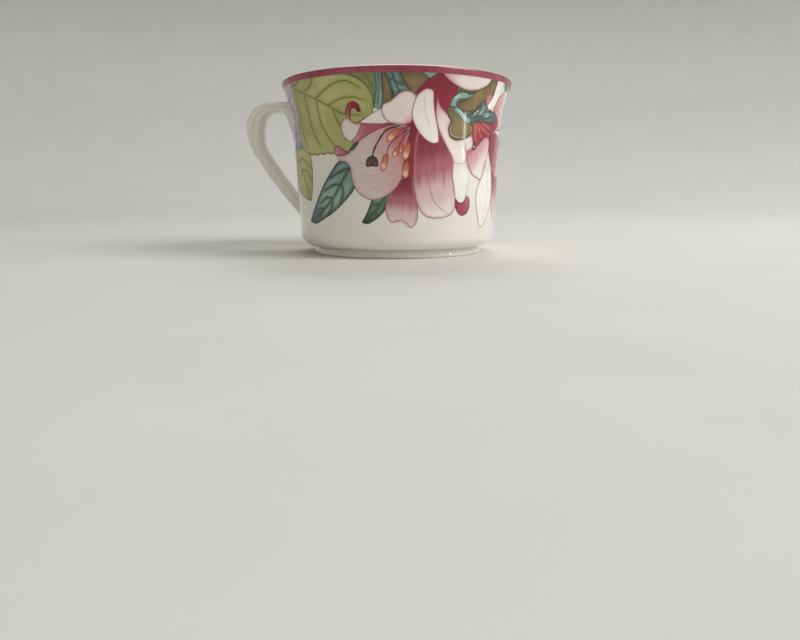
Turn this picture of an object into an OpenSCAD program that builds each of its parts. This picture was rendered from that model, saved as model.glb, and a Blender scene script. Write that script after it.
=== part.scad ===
// Footed teacup with a flared lip, an ear-shaped handle, a painted rim line and wrap-round prints.
// Origin: on the cup's axis, in the plane that the foot stands on. +Z is up, the handle is at -X.

/* [Bowl] */
// Height of the cup from the foot to the top of the lip
cup_h = 62.5; // [58:0.5:70]
// Outside radius at the lip
rim_r = 43; // [41:0.5:46]
// Outside radius of the straight wall where it leaves the rounded base
base_r = 37.5; // [36.5:0.5:38.5]
// How much the straight wall leans outwards for each millimetre of height
wall_lean = 0.044; // [0.02:0.002:0.06]
// Height at which the wall starts to flare
flare_z = 48; // [44:0.5:50]
// How sharply the flare turns out towards the lip
flare_power = 1.7; // [1.4:0.1:2.2]
// Radius of the rounded outside corner at the base
corner_r = 4.2; // [3.5:0.1:4.5]
// Wall thickness near the floor
wall_t = 2.6; // [2.2:0.1:3]
// Wall thickness at the lip
lip_t = 1.6; // [1.4:0.1:2]
// Thickness of the floor
floor_t = 3.4; // [3:0.1:4]
// Radius of the rounded inside corner at the floor
inner_corner_r = 7; // [5:0.5:9]

/* [Foot] */
// Height of the foot ring
foot_h = 3; // [2.5:0.1:3.5]
// Outside radius of the foot ring
foot_r = 32.5; // [31.5:0.1:32.8]
// Width of the foot ring across its section
foot_w = 3.3; // [2.8:0.1:4]
// Rounding of the foot ring's two lower edges
foot_edge_r = 0.4; // [0.3:0.1:0.8]

/* [Handle] */
// Height of the top arm's centre line
arm_z = 55.6; // [54.5:0.1:56]
// Radius of the centre line round the outer corner
corner_path_r = 8.8; // [8:0.1:9.5]
// Distance from the cup's axis to the centre of the outer corner
corner_path_x = 49.7; // [48.5:0.1:51]
// Radius of the centre line below the outer corner
back_path_r = 16.5; // [15:0.5:18]
// Angle that the centre line turns through below the outer corner
back_turn = 33; // [31:1:35]
// Radius of the centre line down the long tail
tail_path_r = 148; // [140:2:156]
// Half the thickness of the handle, in the plane of its loop
handle_half_t = 2; // [1.8:0.1:2.3]
// How much further the top arm stands out from its centre line
arm_extra = 0.3; // [0:0.1:0.5]
// How much further the tail stands out from its centre line
tail_extra = 0.7; // [0:0.1:0.9]
// How much the outer corner swells outwards
shoulder_out = 1.5; // [0.5:0.1:1.8]
// How much the outer corner swells inwards, into the finger hole
shoulder_in = 0.9; // [0:0.1:1.2]
// Half the width of the handle, across its loop
handle_half_w = 3.7; // [3.4:0.1:4]
// Extra half width where the handle meets the wall
root_flare = 0.7; // [0.4:0.1:1]
// Thickness of the slip between the handle and the wall
slip_t = 0.6; // [0.4:0.1:0.8]

/* [Decoration] */
// Height of the painted line below the lip
band_h = 1.4; // [1:0.1:2]
// Thickness of the painted line
band_t = 0.1; // [0.08:0.01:0.15]
// Height of the lower edge of the prints
print_z = 10.5; // [9:0.5:14]
// Thickness of the prints
print_t = 0.15; // [0.1:0.01:0.2]
// Half the angle left plain on each side of the handle
plain_turn = 13; // [12:1:16]

/* [Hidden] */
$fn = 180;
china = [0.93, 0.92, 0.88];
eps = 0.001;

// Heights at which the outside of the bowl is stated
lip_r = lip_t / 2;
lip_z = cup_h - lip_r;
band_z = lip_z - band_h;
corner_z = foot_h + corner_r;
floor_z = foot_h + floor_t;
flare_steps = 9;
wall_levels = concat(
    [corner_z, print_z],
    [for (i = [0:flare_steps]) flare_z + i * (band_z - flare_z) / flare_steps],
    [lip_z]
);

// Outward growth of the lip beyond the line of the straight wall
flare = rim_r - base_r - wall_lean * (lip_z - corner_z);
function flare_at(z) = flare * pow(max(0, (z - flare_z) / (lip_z - flare_z)), flare_power);
function wall_r(z) = base_r + wall_lean * (z - corner_z) + flare_at(z);
function wall_t_at(z) = wall_t + (lip_t - wall_t) * (z - corner_z) / (lip_z - corner_z);
function inner_r(z) = wall_r(z) - wall_t_at(z);
function reversed(list) = [for (i = [len(list) - 1:-1:0]) list[i]];
function arc(centre, radius, from, to, steps) = [
    for (i = [0:steps])
        let (a = from + (to - from) * i / steps)
        centre + radius * [cos(a), sin(a)]
];

// Outline of the outside of the bowl, grown by an offset, from the underside to the lip
function outside(grow) = concat(
    arc([base_r - corner_r, corner_z], corner_r + grow, -90, 0, 8),
    [for (z = wall_levels) if (z > corner_z) [wall_r(z) + grow, z]]
);

// Inside of the bowl, from the top of the wall down to the floor
inner_corner_z = floor_z + inner_corner_r;
inner_levels = [for (z = wall_levels) if (z > inner_corner_z) z];
inside = concat(
    [for (z = reversed(inner_levels)) [inner_r(z), z]],
    arc([inner_r(inner_corner_z) - inner_corner_r, inner_corner_z], inner_corner_r, 0, -90, 10)
);
lip_arc = arc([rim_r - lip_r, lip_z], lip_r, 15, 165, 8);

// Handle: the centre line is a straight top arm and three arcs that run into each other.
// Each station is [distance from the axis, height, angle of the outward normal,
// half thickness outwards, half thickness inwards, half width].
arm_from = base_r - 2;
corner_c = [corner_path_x, arm_z - corner_path_r];
back_c = corner_c + (corner_path_r - back_path_r) * [1, 0];
tail_c = back_c + (back_path_r - tail_path_r) * [cos(back_turn), -sin(back_turn)];
tail_turn = 46;
tail_taper = 0.2;

// Web under the top arm: it drops in a small fillet and thins out down the wall
web_fillet_r = 5;
web_x = 43.9;
web_fillet_x = web_x + web_fillet_r;
web_top_z = arm_z - handle_half_t - web_fillet_r;
web_low_x = 39.1;
web_low_z = 32.5;
function web_z(x) =
    x <= web_low_x ? web_low_z
    : x <= web_x ? web_low_z + (web_top_z - web_low_z) * (x - web_low_x) / (web_x - web_low_x)
    : x <= web_fillet_x ? web_top_z + sqrt(max(0, pow(web_fillet_r, 2) - pow(web_fillet_x - x, 2)))
    : arm_z - handle_half_t;
arm_x = [arm_from, web_low_x, 41.5, web_x, 44.3, 45, 46.2, web_fillet_x];
root_reach = 9;
function root_w(x) = handle_half_w
    + root_flare * pow(max(0, (base_r + root_reach - x) / root_reach), 2);

// Swelling of the outer corner: outwards from the end of the arm to the start of the tail,
// inwards round the part that a finger pulls on
shoulder_end = 90 + back_turn;
function out_t(a) = handle_half_t + arm_extra + (tail_extra - arm_extra) * (90 - a) / shoulder_end
    + shoulder_out * sin(180 * (90 - a) / shoulder_end);
pull_angle = 10;
pull_reach = 40;
function in_t(a) = handle_half_t
    + (abs(a - pull_angle) < pull_reach ? shoulder_in * pow(cos(90 * (a - pull_angle) / pull_reach), 2) : 0);

arm_stations = [
    for (x = arm_x) [x, arm_z, 90, out_t(90), arm_z - web_z(x), root_w(x)]
];
corner_stations = [
    for (a = [90:-10:10])
        let (p = corner_c + corner_path_r * [cos(a), sin(a)])
        [p.x, p.y, a, out_t(a), in_t(a), handle_half_w]
];
back_stations = [
    for (i = [0:5])
        let (a = -back_turn * i / 6, p = back_c + back_path_r * [cos(a), sin(a)])
        [p.x, p.y, a, out_t(a), in_t(a), handle_half_w]
];
tail_steps = 9;
tail_stations = [
    for (i = [0:tail_steps])
        let (
            part = i / tail_steps,
            a = -back_turn - (tail_turn - back_turn) * part,
            p = tail_c + tail_path_r * [cos(a), sin(a)],
            t = handle_half_t - tail_taper * part
        )
        [p.x, p.y, a, t + tail_extra, t, root_w(p.x)]
];
stations = concat(arm_stations, corner_stations, back_stations, tail_stations);

// Section of the handle as [outward, across], each in shares of its half size, with a shallow
// groove along each side
half_section = [
    [0.98, 0], [1, 0.35], [0.96, 0.62], [0.78, 0.87], [0.5, 0.97], [0.24, 0.94], [0.08, 0.9],
    [-0.1, 0.94], [-0.36, 1], [-0.62, 0.88], [-0.86, 0.6], [-0.98, 0.3], [-1, 0]
];
section = concat(
    half_section,
    [for (i = [len(half_section) - 2:-1:1]) [half_section[i].x, -half_section[i].y]]
);
section_n = len(section);
function section_point(s, p) =
    let (out = p.x * (p.x > 0 ? s[3] : s[4]))
    [-(s[0] + out * cos(s[2])), p.y * s[5], s[1] + out * sin(s[2])];

// Slip joints: [lower centre height, upper centre height, radius] of each round-ended patch
upper_patch = [37.2, 53.6, 4.8];
lower_patch = [14.2, 15.8, 4.7];
patch_from = 34;
patch_to = 46;

module turned(outline) {
    rotate_extrude()
        polygon(outline);
}

module bowl() {
    color(china)
        turned(concat([[0, foot_h]], outside(0), lip_arc, inside, [[0, floor_z]]));
}

module foot_ring() {
    inner = foot_r - foot_w;
    e = foot_edge_r;
    color(china)
        turned(concat(
            arc([inner + e, e], e, 180, 270, 5),
            arc([foot_r - e, e], e, 270, 360, 5),
            [[foot_r, foot_h], [inner, foot_h]]
        ));
}

// Solid of everything inside the outer wall, grown by an offset
module wall_core(grow) {
    turned(concat([[0, foot_h - grow]], outside(grow), [[0, lip_z]]));
}

module handle_sweep() {
    rings = len(stations);
    points = [for (s = stations) for (p = section) section_point(s, p)];
    sides = [
        for (k = [0:rings - 2]) for (i = [0:section_n - 1])
            let (a = k * section_n + i, b = k * section_n + (i + 1) % section_n)
            [a, b, b + section_n, a + section_n]
    ];
    first_cap = [[for (i = [section_n - 1:-1:0]) i]];
    last_cap = [[for (i = [0:section_n - 1]) (rings - 1) * section_n + i]];
    polyhedron(points, concat(first_cap, sides, last_cap));
}

module handle() {
    color(china)
        difference() {
            handle_sweep();
            wall_core(slip_t);
        }
}

// Round-ended patch of slip on the wall
module slip_joint(patch) {
    color(china)
        intersection() {
            difference() {
                wall_core(slip_t);
                wall_core(0);
            }
            translate([-patch_from, 0, 0])
                rotate([0, -90, 0])
                    linear_extrude(patch_to - patch_from)
                        union() {
                            translate([patch[0], 0])
                                circle(patch[2]);
                            translate([patch[1], 0])
                                circle(patch[2]);
                            translate([patch[0], -patch[2]])
                                square([patch[1] - patch[0], 2 * patch[2]]);
                        }
        }
}

module upper_slip_joint() {
    slip_joint(upper_patch);
}

module lower_slip_joint() {
    slip_joint(lower_patch);
}

// Thin skin on the outside of the wall. Angles run from -Y, the front, towards +X.
module skin(low, high, from, to, thickness) {
    levels = [for (z = wall_levels) if (z > low - eps && z < high + eps) z];
    rotate([0, 0, from - 90])
        rotate_extrude(angle = to - from)
            polygon(concat(
                [for (z = levels) [wall_r(z), z]],
                [for (z = reversed(levels)) [wall_r(z) + thickness, z]]
            ));
}

module rim_band() {
    color([0.6, 0.17, 0.28])
        skin(band_z, lip_z, 0, 360, band_t);
}

module print_sheet(from, to) {
    skin(print_z, band_z, from, to, print_t);
}

// The prints meet edge to edge, from one side of the handle round to the other
leaf_to = -18;
front_lily_to = 56;
side_lily_to = 108;
tulip_to = 152;
morning_glory_to = 200;

module print_leaf_spray() {
    color([0.6, 0.65, 0.3])
        print_sheet(plain_turn - 90, leaf_to);
}

module print_front_lily() {
    color([0.9, 0.68, 0.7])
        print_sheet(leaf_to, front_lily_to);
}

module print_side_lily() {
    color([0.8, 0.45, 0.5])
        print_sheet(front_lily_to, side_lily_to);
}

module print_tulip_spray() {
    color([0.85, 0.45, 0.2])
        print_sheet(side_lily_to, tulip_to);
}

module print_morning_glory() {
    color([0.4, 0.5, 0.75])
        print_sheet(tulip_to, morning_glory_to);
}

module print_wild_rose() {
    color([0.8, 0.5, 0.52])
        print_sheet(morning_glory_to, 270 - plain_turn);
}

bowl();
foot_ring();
handle();
upper_slip_joint();
lower_slip_joint();
rim_band();
print_leaf_spray();
print_front_lily();
print_side_lily();
print_tulip_spray();
print_morning_glory();
print_wild_rose();
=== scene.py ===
"""A footed china teacup with a printed lily, leaves and flowers all round, built on the CAD frame."""

import math
import random

import bmesh
import bpy
import numpy as np
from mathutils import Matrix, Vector


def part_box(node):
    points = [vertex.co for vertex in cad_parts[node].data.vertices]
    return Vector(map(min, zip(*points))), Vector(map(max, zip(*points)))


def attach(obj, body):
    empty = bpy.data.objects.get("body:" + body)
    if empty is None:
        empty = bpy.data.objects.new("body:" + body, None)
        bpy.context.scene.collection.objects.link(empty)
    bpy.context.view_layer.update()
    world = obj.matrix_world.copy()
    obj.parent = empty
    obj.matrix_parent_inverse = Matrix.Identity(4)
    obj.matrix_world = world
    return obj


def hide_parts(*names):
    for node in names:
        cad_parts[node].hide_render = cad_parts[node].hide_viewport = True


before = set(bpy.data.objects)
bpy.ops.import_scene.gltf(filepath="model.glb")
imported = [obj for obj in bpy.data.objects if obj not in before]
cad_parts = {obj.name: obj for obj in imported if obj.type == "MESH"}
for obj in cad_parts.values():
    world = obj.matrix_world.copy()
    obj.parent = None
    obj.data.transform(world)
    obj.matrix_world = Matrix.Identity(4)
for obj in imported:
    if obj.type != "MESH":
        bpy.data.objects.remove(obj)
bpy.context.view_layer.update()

MM = 0.001

# ---------------------------------------------------------------- sizes, in millimetres


def box_mm(node):
    low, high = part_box(node)
    return low / MM, high / MM


BOWL_TOP = box_mm("bowl")[1]
FOOT_TOP = box_mm("foot_ring")[1]
BAND_BOTTOM = box_mm("rim_band")[0]

RIM_R = BOWL_TOP.y
CUP_H = BOWL_TOP.z
FOOT_H = FOOT_TOP.z
FOOT_R = FOOT_TOP.y
FOOT_W = 3.3
LIP_T = 1.6
LIP_Z = CUP_H - LIP_T / 2
BAND_Z = BAND_BOTTOM.z
CORNER_R = 4.2
CORNER_Z = FOOT_H + CORNER_R
BASE_R = 37.5
WALL_LEAN = 0.044
WALL_T = 2.6
FLARE_Z = 48.0
FLARE_POWER = 1.7
FLARE = RIM_R - BASE_R - WALL_LEAN * (LIP_Z - CORNER_Z)
FLOOR_Z = FOOT_H + 3.4
INNER_CORNER_R = 7.0
TURN_STEPS = 360
# Skins keep this far inside the CAD box and clear of each other
HAIR = 0.01

# Millimetres of wall for each degree of turn, at the wall's mean radius
MM_PER_DEG = 39.0 * math.pi / 180


def wall_r(z):
    """Outside radius of the wall at height z."""
    out = np.clip((np.asarray(z, float) - FLARE_Z) / (LIP_Z - FLARE_Z), 0, None)
    return BASE_R + WALL_LEAN * (z - CORNER_Z) + FLARE * out**FLARE_POWER


def on_wall(angle, z, lift=0.0):
    """Points on the wall, in mm. Angles are in degrees from -Y, the front, towards +X."""
    slope = (wall_r(z + 0.05) - wall_r(z - 0.05)) / 0.1
    size = np.sqrt(1 + slope**2)
    r = wall_r(z) + lift / size
    a = np.radians(angle)
    return np.stack([r * np.sin(a), -r * np.cos(a), z - lift * slope / size], -1)


def wall_normal(angle, z):
    slope = (wall_r(z + 0.05) - wall_r(z - 0.05)) / 0.1
    size = np.sqrt(1 + slope**2)
    a = np.radians(angle)
    return np.stack([np.sin(a) / size, -np.cos(a) / size, -slope / size], -1)


# ---------------------------------------------------------------- materials


def srgb(r, g, b):
    """Linear colour of an sRGB colour stated in 0 to 255."""
    parts = [c / 255 for c in (r, g, b)]
    return [p / 12.92 if p <= 0.04045 else ((p + 0.055) / 1.055) ** 2.4 for p in parts] + [1.0]


GLAZE_IOR = 1.52
PRINT_ROUGHNESS = 0.13


class Nodes:
    """Small helper that adds and joins nodes in one material."""

    def __init__(self, name, roughness):
        self.material = bpy.data.materials.new(name)
        self.material.use_nodes = True
        self.tree = self.material.node_tree
        self.shader = self.tree.nodes["Principled BSDF"]
        self.shader.inputs["Roughness"].default_value = roughness
        self.shader.inputs["IOR"].default_value = GLAZE_IOR
        self.material.diffuse_color = srgb(230, 226, 218)

    def add(self, kind, **inputs):
        node = self.tree.nodes.new(kind)
        for key, value in inputs.items():
            self.put(node.inputs[key.replace("_", " ")], value)
        return node

    def put(self, socket, value):
        if isinstance(value, bpy.types.NodeSocket):
            self.tree.links.new(value, socket)
        else:
            socket.default_value = value

    def maths(self, operation, a, b=0.0):
        node = self.tree.nodes.new("ShaderNodeMath")
        node.operation = operation
        self.put(node.inputs[0], a)
        self.put(node.inputs[1], b)
        return node.outputs[0]

    def noise(self, vector, scale, detail=3.0):
        return self.add("ShaderNodeTexNoise", Vector=vector, Scale=scale, Detail=detail).outputs["Fac"]

    def ramp(self, factor, stops, smooth=True):
        node = self.tree.nodes.new("ShaderNodeValToRGB")
        self.put(node.inputs[0], factor)
        ramp = node.color_ramp
        ramp.interpolation = "EASE" if smooth else "LINEAR"
        while len(ramp.elements) < len(stops):
            ramp.elements.new(0.5)
        for element, (place, colour) in zip(ramp.elements, stops):
            element.position = place
            element.color = srgb(*colour)
        return node.outputs["Color"]

    def near(self, attribute, width, amount):
        """Factor that is amount at an attribute's zero and fades to nothing at width."""
        value = self.add("ShaderNodeAttribute")
        value.attribute_name = attribute
        spread = self.add("ShaderNodeMapRange", Value=value.outputs["Fac"])
        spread.interpolation_type = "SMOOTHSTEP"
        self.put(spread.inputs["From Max"], width)
        self.put(spread.inputs["To Min"], amount)
        self.put(spread.inputs["To Max"], 0.0)
        return spread.outputs[0]

    def mix(self, factor, a, b, blend="MIX"):
        node = self.tree.nodes.new("ShaderNodeMix")
        node.data_type = "RGBA"
        node.blend_type = blend
        self.put(node.inputs[0], factor)
        self.put(node.inputs[6], a)
        self.put(node.inputs[7], b)
        return node.outputs[2]

    def place(self):
        return self.add("ShaderNodeTexCoord").outputs["Object"]

    def glaze(self, depth=0.000012):
        """The faint waviness of a fired glaze."""
        height = self.noise(self.place(), 170.0, 2.0)
        bump = self.add("ShaderNodeBump", Height=height, Strength=0.35, Distance=depth)
        self.put(self.shader.inputs["Normal"], bump.outputs[0])


def china(name, body, warm, roughness=0.08):
    """White glazed bone china, a little warmer where the glaze pools, with a few fine specks."""
    n = Nodes(name, roughness)
    place = n.place()
    pool = n.ramp(n.noise(place, 38.0, 4.0), [(0.3, body), (0.75, warm)])
    speck = n.ramp(n.noise(place, 900.0, 2.0), [(0.2, (214, 208, 196)), (0.27, (255, 255, 255))])
    n.put(n.shader.inputs["Base Color"], n.mix(0.5, pool, speck, "MULTIPLY"))
    n.put(n.shader.inputs["Coat Weight"], 0.6)
    n.put(n.shader.inputs["Coat Roughness"], 0.03)
    n.glaze()
    return n.material


def bare_china(name):
    """The ground, unglazed edge of the foot."""
    n = Nodes(name, 0.75)
    place = n.place()
    tone = n.ramp(n.noise(place, 260.0, 6.0), [(0.3, (222, 214, 200)), (0.7, (240, 235, 225))])
    n.put(n.shader.inputs["Base Color"], tone)
    bump = n.add("ShaderNodeBump", Height=n.noise(place, 2600.0, 4.0), Strength=0.5, Distance=0.00003)
    n.put(n.shader.inputs["Normal"], bump.outputs[0])
    return n.material


def paint(name, stops, streak=0.0, across=14.0, edge=None, vein=None, mottle=0.035):
    """Printed enamel: a wash along the petal or leaf, streaks, and darker edges and veins."""
    n = Nodes(name, PRINT_ROUGHNESS)
    uv = n.add("ShaderNodeUVMap").outputs[0]
    parts = n.add("ShaderNodeSeparateXYZ", Vector=uv)
    along = parts.outputs["X"]
    if streak:
        grain = n.add("ShaderNodeCombineXYZ", X=n.maths("MULTIPLY", along, 1.6),
                      Y=n.maths("MULTIPLY", parts.outputs["Y"], across))
        push = n.maths("SUBTRACT", n.noise(grain.outputs[0], 1.0, 3.0), 0.5)
        along = n.maths("ADD", along, n.maths("MULTIPLY", push, streak))
    colour = n.ramp(along, stops)
    place = n.place()
    cloud = n.noise(place, 150.0, 3.0)
    low, high = int(255 * (1 - mottle)), 255
    tone = n.ramp(cloud, [(0.3, (low, low, low)), (0.65, (high, high, high))])
    colour = n.mix(1.0, colour, tone, "MULTIPLY")
    if vein:
        shade, width, amount = vein
        colour = n.mix(n.near("vein", width, amount), colour, srgb(*shade))
    if edge:
        shade, width, amount = edge
        colour = n.mix(n.near("edge", width, amount), colour, srgb(*shade))
    n.put(n.shader.inputs["Base Color"], colour)
    n.glaze()
    return n.material


def line_paint(name, dark, light):
    """Printed outline, uneven as a pen line is."""
    n = Nodes(name, PRINT_ROUGHNESS)
    colour = n.ramp(n.noise(n.place(), 700.0, 3.0), [(0.35, dark), (0.7, light)])
    n.put(n.shader.inputs["Base Color"], colour)
    n.glaze()
    return n.material


def band_enamel(name):
    """Brush-laid raspberry enamel: its tone drifts along the stroke, with fine brush marks."""
    n = Nodes(name, 0.16)
    place = n.place()
    drift = n.ramp(n.noise(place, 55.0, 3.0), [(0.3, (148, 52, 76)), (0.7, (170, 80, 100))])
    marks = n.ramp(n.noise(place, 650.0, 5.0), [(0.3, (226, 222, 224)), (0.7, (255, 255, 255))])
    n.put(n.shader.inputs["Base Color"], n.mix(0.8, drift, marks, "MULTIPLY"))
    n.glaze()
    return n.material


CHINA = china("white_china", (238, 235, 226), (231, 227, 214))
SLIP = china("slip_china", (235, 231, 221), (226, 221, 208), 0.1)
BARE = bare_china("ground_foot")
BAND = band_enamel("rim_enamel")

ROSE_EDGE = ((186, 124, 132), 1.1, 0.5)
LEAF_EDGE = ((124, 132, 62), 0.9, 0.5)

# Washes: stops along the shape, streaks and how fine they are, darker edges and veins, mottling
WASHES = {
    "lily_pale": (
        [(0.0, (200, 132, 138)), (0.14, (224, 184, 182)), (0.36, (238, 222, 214)), (1.0, (243, 234, 225))],
        0.28, 16, ROSE_EDGE),
    "lily_white": ([(0.0, (228, 194, 190)), (0.2, (242, 232, 223)), (1.0, (246, 241, 232))], 0.25, 14,
        ((220, 184, 184), 0.9, 0.45)),
    "lily_bright": ([(0.0, (240, 228, 219)), (0.3, (247, 244, 236)), (1.0, (247, 241, 233))], 0.15, 8,
        ((216, 192, 188), 0.6, 0.35)),
    "lily_rose": ([(0.0, (122, 20, 38)), (0.2, (140, 42, 60)), (0.4, (178, 100, 110)),
                   (0.62, (220, 188, 183)), (0.85, (238, 227, 219))], 0.2, 24, ROSE_EDGE),
    "lily_cream": ([(0.0, (146, 48, 66)), (0.16, (186, 104, 114)), (0.34, (212, 168, 162)),
                    (0.55, (222, 202, 192)), (1.0, (227, 212, 201))], 0.22, 12,
        ((202, 162, 156), 1.6, 0.5)),
    "lily_side": (
        [(0.0, (186, 96, 112)), (0.3, (216, 162, 164)), (0.6, (240, 228, 219)), (1.0, (243, 236, 228))],
        0.3, 12, ROSE_EDGE),
    "crimson": ([(0.0, (128, 16, 34)), (0.5, (148, 28, 46)), (1.0, (164, 52, 66))], 0.6, 16,
        ((98, 10, 26), 0.8, 0.5)),
    "throat": ([(0.0, (172, 70, 74)), (0.5, (150, 36, 52)), (1.0, (142, 34, 54))], 0.5, 14,
        ((104, 14, 30), 0.8, 0.5)),
    "rose_band": ([(0.0, (150, 40, 62)), (0.45, (178, 90, 106)), (1.0, (212, 162, 164))], 0.3, 9,
        ((150, 70, 88), 0.7, 0.4)),
    "dusty_pink": ([(0.0, (160, 78, 90)), (0.5, (192, 122, 128)), (1.0, (214, 160, 160))], 0.3, 8,
        ((138, 64, 76), 0.6, 0.5)),
    "magenta": ([(0.0, (142, 32, 64)), (0.5, (166, 62, 92)), (1.0, (196, 116, 134))], 0.3, 8,
        ((110, 20, 46), 0.6, 0.6)),
    "curl_red": (
        [(0.0, (206, 140, 140)), (0.35, (172, 66, 72)), (0.6, (140, 20, 28)), (1.0, (118, 12, 22))], 0.2, 6,
        ((100, 12, 22), 0.5, 0.5)),
    "yellow_green": ([(0.0, (172, 168, 96)), (0.5, (196, 193, 126)), (1.0, (176, 173, 102))], 0.5, 5,
        LEAF_EDGE, ((142, 152, 68), 1.3, 0.6), 0.08),
    "olive_leaf": ([(0.0, (138, 146, 80)), (1.0, (160, 168, 100))], 0.5, 6, ((100, 108, 52), 1.0, 0.6),
        ((110, 120, 56), 0.9, 0.5), 0.1),
    "teal": ([(0.0, (122, 150, 140)), (0.5, (160, 188, 178)), (1.0, (94, 116, 108))], 0.5, 5,
        ((50, 72, 68), 1.9, 0.85), ((58, 92, 88), 1.2, 0.85), 0.08),
    "teal_stem": ([(0.0, (134, 166, 154)), (0.5, (164, 192, 180)), (1.0, (138, 168, 158))], 0.4, 8,
        ((70, 106, 100), 0.7, 0.8), ((72, 110, 104), 0.6, 0.6), 0.12),
    "dark_green": ([(0.0, (116, 148, 124)), (0.6, (96, 128, 104)), (1.0, (44, 58, 44))], 0.5, 6,
        ((34, 52, 40), 1.2, 0.8), ((44, 72, 56), 0.8, 0.8), 0.14),
    "olive_brown": ([(0.0, (116, 96, 56)), (0.5, (140, 118, 74)), (1.0, (126, 102, 58))], 0.5, 7,
        ((88, 70, 38), 0.9, 0.6), None, 0.14),
    "anther": (
        [(0.0, (178, 86, 58)), (0.4, (200, 116, 80)), (0.72, (238, 196, 170)), (1.0, (192, 102, 68))], 0.3,
        4, ((158, 70, 44), 0.4, 0.7)),
    "lavender": ([(0.0, (226, 218, 222)), (0.5, (206, 194, 208)), (1.0, (190, 178, 200))], 0.3, 6,
        ((168, 146, 176), 0.6, 0.5)),
    "periwinkle": ([(0.0, (212, 212, 224)), (0.5, (172, 178, 208)), (1.0, (148, 158, 200))], 0.3, 6,
        ((118, 120, 172), 0.6, 0.5)),
    "deep_blue": ([(0.0, (182, 192, 216)), (0.5, (120, 142, 190)), (1.0, (92, 116, 174))], 0.3, 6,
        ((58, 72, 138), 0.7, 0.6)),
    "tulip": ([(0.0, (158, 74, 44)), (0.25, (212, 126, 78)), (0.6, (232, 164, 116)), (1.0, (220, 122, 72))],
        0.5, 16, ((178, 84, 46), 0.9, 0.6)),
    "tulip_dark": ([(0.0, (150, 64, 40)), (0.5, (200, 104, 60)), (1.0, (226, 140, 92))], 0.5, 16,
        ((160, 70, 40), 0.9, 0.6)),
    "glory_blue": ([(0.0, (244, 244, 238)), (0.2, (186, 208, 232)), (0.5, (96, 150, 204)),
                    (0.85, (58, 114, 182)), (1.0, (86, 140, 200))], 0.18, 20, ((44, 88, 158), 0.8, 0.5),
        ((180, 206, 232), 0.8, 0.5)),
    "glory_star": ([(0.0, (248, 246, 236)), (0.6, (206, 222, 238)), (1.0, (120, 166, 214))], 0.2, 8,
        ((120, 166, 214), 0.5, 0.6)),
    "glory_heart": ([(0.0, (246, 226, 200)), (0.5, (236, 168, 110)), (1.0, (246, 230, 206))], 0.3, 6,
        ((240, 236, 226), 0.6, 0.5)),
    "wild_rose": (
        [(0.0, (236, 200, 170)), (0.2, (214, 142, 146)), (0.6, (200, 128, 138)), (1.0, (224, 172, 174))],
        0.3, 16, ((176, 96, 108), 1.1, 0.5)),
    "pollen_ring": ([(0.0, (214, 140, 60)), (0.5, (232, 182, 84)), (1.0, (206, 126, 52))], 0.5, 8,
        ((168, 92, 40), 1.2, 0.7)),
    "pollen": ([(0.0, (236, 196, 92)), (1.0, (222, 160, 64))], 0.3, 4, ((190, 116, 46), 0.3, 0.6)),
    "violet_shade": ([(0.0, (166, 158, 188)), (1.0, (128, 128, 172))], 0.3, 6, ((112, 108, 156), 0.8, 0.6),
        None, 0.1),
    "dark_ground": ([(0.0, (104, 88, 54)), (0.5, (92, 96, 66)), (1.0, (110, 92, 56))], 0.5, 6, None, None,
        0.2),
    "stigma": ([(0.0, (58, 36, 30)), (0.6, (106, 78, 64)), (1.0, (66, 44, 36))], 0.3, 5,
        ((38, 24, 20), 0.5, 0.8)),
}

# Pen lines: the dark and the light tone of each
PENS = {
    "rose_line": ((142, 84, 94), (172, 112, 120)),
    "vein_line": ((140, 54, 70), (166, 90, 102)),
    "faint_line": ((190, 154, 150), (208, 176, 170)),
    "red_line": ((104, 18, 34), (132, 38, 54)),
    "green_line": ((78, 88, 36), (104, 114, 54)),
    "dark_line": ((44, 42, 34), (68, 64, 52)),
    "teal_line": ((40, 62, 58), (62, 90, 84)),
    "violet_line": ((142, 108, 138), (166, 132, 160)),
    "anther_line": ((142, 62, 34), (166, 82, 46)),
    "tulip_line": ((134, 58, 30), (164, 84, 48)),
    "blue_line": ((40, 70, 128), (66, 100, 158)),
    "ray_line": ((176, 82, 76), (192, 104, 92)),
    "light_line": ((186, 206, 196), (212, 226, 216)),
}
PAINTS = {name: paint(name, *wash) for name, wash in WASHES.items()}
PAINTS.update({name: line_paint(name, *tones) for name, tones in PENS.items()})


# ---------------------------------------------------------------- drawing on the wall

# Shapes that run off the top end just above the lower edge of the rim line, which covers them
TOP = BAND_Z + 0.3
STEP = 0.55
FIRST_LIFT = 0.02
LEVEL_LIFT = 0.006
LINE_LIFT = 0.003
# The distance, in mm, that stands for no edge or vein nearby
FAR = 99.0
# Points closer than this, in mm, are joined, and faces smaller than this, in square metres, are left out
JOIN_MM = 0.0001
SMALLEST_FACE = 1e-12


def flat(points):
    """Wall points (degrees, height) as flat millimetres."""
    return np.asarray(points, float) * [MM_PER_DEG, 1.0]


def on_print(points):
    """Flat millimetres as wall points."""
    return points * [1 / MM_PER_DEG, 1]


def unit(v):
    return v / np.maximum(np.linalg.norm(v, axis=-1, keepdims=True), 1e-9)


def resampled(points, count):
    gaps = np.linalg.norm(np.diff(points, axis=0), axis=1)
    run = np.concatenate([[0], np.cumsum(gaps)])
    at = np.linspace(0, run[-1], count)
    return np.stack([np.interp(at, run, points[:, k]) for k in range(2)], -1)


def bend_through(a, b, c, d, t):
    """The stretch from b to c of a smooth line through four points; t is a column of shares."""
    return 0.5 * (2 * b + (c - a) * t + (2 * a - 5 * b + 4 * c - d) * t**2
                  + (3 * b - a - 3 * c + d) * t**3)


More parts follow.
